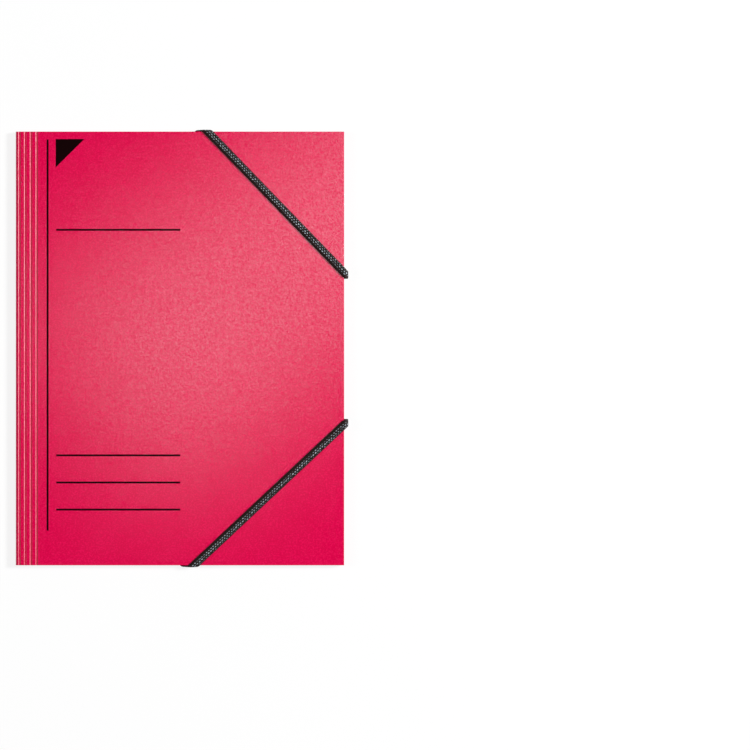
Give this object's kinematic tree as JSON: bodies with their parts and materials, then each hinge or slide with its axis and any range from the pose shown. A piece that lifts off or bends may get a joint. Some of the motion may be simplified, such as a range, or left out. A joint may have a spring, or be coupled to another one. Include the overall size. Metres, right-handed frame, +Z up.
{
  "type": "elastic folder",
  "caption": "Closed three-flap card folder with a scored spine, a cover that opens like a book's, and elastic bands across its right-hand corners.",
  "frame": {"origin": "middle of the closed folder's footprint, bands included, on the surface it lies on", "axes": "+X from the spine fold to the open side, +Y to the head of the cover, +Z up out of the cover"},
  "size_m": [0.2456, 0.323, 0.0063],
  "materials": {
    "card": "matt, fine mottled grain, dyed crimson pink",
    "elastic": "black braided flat elastic",
    "clip": "plain bent strip"
  },
  "bodies": {
    "back": {"back_panel": "card", "head_elastic": "elastic", "foot_elastic": "elastic", "head_band_edge_clip": "clip", "head_band_side_clip": "clip", "foot_band_edge_clip": "clip", "foot_band_side_clip": "clip"},
    "cover": {"front_cover": "card"}
  },
  "joints": [
    {"name": "cover_hinge", "type": "hinge", "parent": "back", "child": "cover", "pos_m": [-0.1228, 0, 0.00313], "axis": [0, -1, 0], "range_deg": [0, 180], "deforming": ["head_elastic", "foot_elastic"]}
  ]
}
